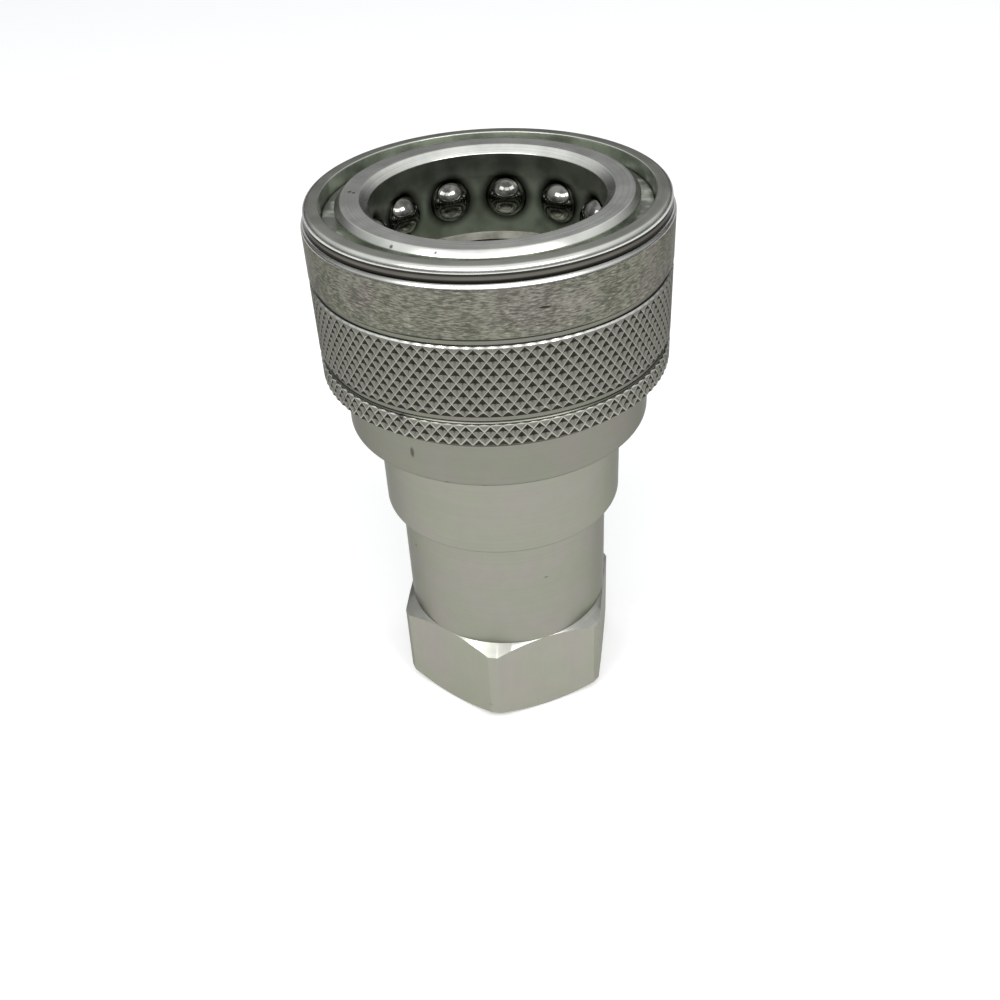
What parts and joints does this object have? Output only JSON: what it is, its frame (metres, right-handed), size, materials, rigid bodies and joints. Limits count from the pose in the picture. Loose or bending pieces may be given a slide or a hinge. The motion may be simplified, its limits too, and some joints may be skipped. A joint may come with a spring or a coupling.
{
  "type": "hydraulic quick coupler",
  "caption": "Female half of a poppet-valve hydraulic quick coupler with a sprung knurled sleeve, a ring of locking balls and a hexagon end with an inside pipe thread.",
  "frame": {"origin": "centre of the hexagon's end face, which the part stands on", "axes": "+Z along the bore towards the mouth that takes the nipple; +Y through a corner of the hexagon"},
  "size_m": [0.0498, 0.0498, 0.083],
  "materials": {
    "plated_steel": "bright zinc plate over turned steel",
    "spring_steel": "drawn wire, lightly oiled",
    "ball_steel": "polished bearing steel",
    "seal_rubber": "smooth black rubber",
    "backup_plastic": "off-white seal plastic"
  },
  "bodies": {
    "root": {"adapter": "plated_steel", "socket_body": "plated_steel", "retaining_ring": "spring_steel", "backup_ring": "backup_plastic", "nipple_seal": "seal_rubber", "body_seal": "seal_rubber", "valve_guide": "plated_steel"},
    "sleeve_carrier": {"sleeve_spring": "spring_steel"},
    "sleeve": {"sleeve": "plated_steel"},
    "poppet": {"valve_poppet": "plated_steel", "poppet_seal": "seal_rubber", "poppet_spring": "spring_steel"},
    "lock_ball_01": {"lock_ball_01": "ball_steel"},
    "lock_ball_02": {"lock_ball_02": "ball_steel"},
    "lock_ball_03": {"lock_ball_03": "ball_steel"},
    "lock_ball_04": {"lock_ball_04": "ball_steel"},
    "lock_ball_05": {"lock_ball_05": "ball_steel"},
    "lock_ball_06": {"lock_ball_06": "ball_steel"},
    "lock_ball_07": {"lock_ball_07": "ball_steel"},
    "lock_ball_08": {"lock_ball_08": "ball_steel"},
    "lock_ball_09": {"lock_ball_09": "ball_steel"},
    "lock_ball_10": {"lock_ball_10": "ball_steel"},
    "lock_ball_11": {"lock_ball_11": "ball_steel"},
    "lock_ball_12": {"lock_ball_12": "ball_steel"}
  },
  "joints": [
    {"name": "sleeve_slide", "type": "slide", "parent": "root", "child": "sleeve_carrier", "axis": [0, 0, -1], "range_m": [0, 0.0063], "stiffness_N_per_m": 5000, "springref_m": -0.008, "deforming": ["sleeve_spring"]},
    {"name": "sleeve_turn", "type": "hinge", "parent": "sleeve_carrier", "child": "sleeve", "pos_m": [0, 0, 0.0755], "axis": [0, 0, 1], "continuous": true},
    {"name": "poppet_slide", "type": "slide", "parent": "root", "child": "poppet", "axis": [0, 0, -1], "range_m": [0, 0.007], "stiffness_N_per_m": 2500, "springref_m": -0.006, "deforming": ["poppet_spring"]},
    {"name": "lock_ball_01_slide", "type": "slide", "parent": "root", "child": "lock_ball_01", "axis": [1, 0, 0], "range_m": [0, 0.0021]},
    {"name": "lock_ball_02_slide", "type": "slide", "parent": "root", "child": "lock_ball_02", "axis": [0.866, 0.5, 0], "range_m": [0, 0.0021]},
    {"name": "lock_ball_03_slide", "type": "slide", "parent": "root", "child": "lock_ball_03", "axis": [0.5, 0.866, 0], "range_m": [0, 0.0021]},
    {"name": "lock_ball_04_slide", "type": "slide", "parent": "root", "child": "lock_ball_04", "axis": [0, 1, 0], "range_m": [0, 0.0021]},
    {"name": "lock_ball_05_slide", "type": "slide", "parent": "root", "child": "lock_ball_05", "axis": [-0.5, 0.866, 0], "range_m": [0, 0.0021]},
    {"name": "lock_ball_06_slide", "type": "slide", "parent": "root", "child": "lock_ball_06", "axis": [-0.866, 0.5, 0], "range_m": [0, 0.0021]},
    {"name": "lock_ball_07_slide", "type": "slide", "parent": "root", "child": "lock_ball_07", "axis": [-1, 0, 0], "range_m": [0, 0.0021]},
    {"name": "lock_ball_08_slide", "type": "slide", "parent": "root", "child": "lock_ball_08", "axis": [-0.866, -0.5, 0], "range_m": [0, 0.0021]},
    {"name": "lock_ball_09_slide", "type": "slide", "parent": "root", "child": "lock_ball_09", "axis": [-0.5, -0.866, 0], "range_m": [0, 0.0021]},
    {"name": "lock_ball_10_slide", "type": "slide", "parent": "root", "child": "lock_ball_10", "axis": [0, -1, 0], "range_m": [0, 0.0021]},
    {"name": "lock_ball_11_slide", "type": "slide", "parent": "root", "child": "lock_ball_11", "axis": [0.5, -0.866, 0], "range_m": [0, 0.0021]},
    {"name": "lock_ball_12_slide", "type": "slide", "parent": "root", "child": "lock_ball_12", "axis": [0.866, -0.5, 0], "range_m": [0, 0.0021]}
  ],
  "couplings": [
    {"joint": "lock_ball_01_slide", "follows": "sleeve_slide", "ratio": 0.33333},
    {"joint": "lock_ball_02_slide", "follows": "sleeve_slide", "ratio": 0.33333},
    {"joint": "lock_ball_03_slide", "follows": "sleeve_slide", "ratio": 0.33333},
    {"joint": "lock_ball_04_slide", "follows": "sleeve_slide", "ratio": 0.33333},
    {"joint": "lock_ball_05_slide", "follows": "sleeve_slide", "ratio": 0.33333},
    {"joint": "lock_ball_06_slide", "follows": "sleeve_slide", "ratio": 0.33333},
    {"joint": "lock_ball_07_slide", "follows": "sleeve_slide", "ratio": 0.33333},
    {"joint": "lock_ball_08_slide", "follows": "sleeve_slide", "ratio": 0.33333},
    {"joint": "lock_ball_09_slide", "follows": "sleeve_slide", "ratio": 0.33333},
    {"joint": "lock_ball_10_slide", "follows": "sleeve_slide", "ratio": 0.33333},
    {"joint": "lock_ball_11_slide", "follows": "sleeve_slide", "ratio": 0.33333},
    {"joint": "lock_ball_12_slide", "follows": "sleeve_slide", "ratio": 0.33333}
  ]
}
